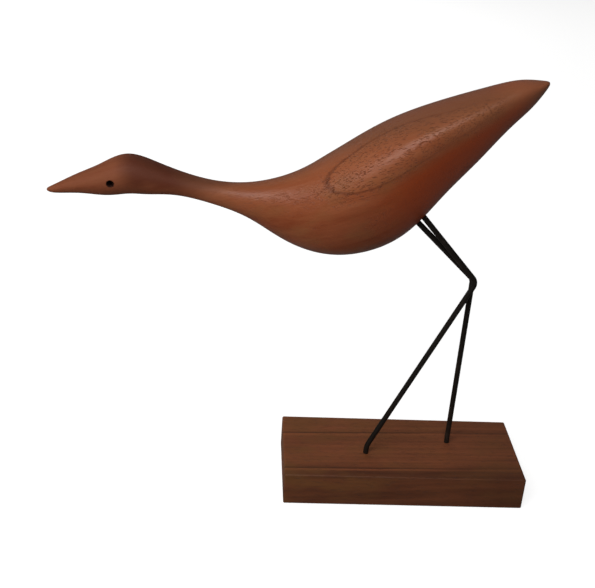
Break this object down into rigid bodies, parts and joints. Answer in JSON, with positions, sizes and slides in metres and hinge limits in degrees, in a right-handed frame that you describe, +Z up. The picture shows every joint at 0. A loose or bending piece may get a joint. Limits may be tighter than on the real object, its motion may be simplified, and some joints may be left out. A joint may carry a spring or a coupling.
{
  "type": "bird figurine",
  "caption": "Carved wooden long-necked wading bird leaning forward on bent black wire legs, fixed in a rectangular wooden block base.",
  "frame": {"origin": "middle of the base block's underside", "axes": "+Z up, +X along the base from the beak towards the tail, the near leg on the -Y side"},
  "size_m": [0.263, 0.058, 0.2389],
  "materials": {
    "carved_wood": "oiled satin",
    "black_wire": "satin black",
    "base_wood": "oiled satin"
  },
  "bodies": {
    "root": {"bird_body": "carved_wood", "near_leg": "black_wire", "far_leg": "black_wire", "base_block": "base_wood"}
  },
  "joints": []
}
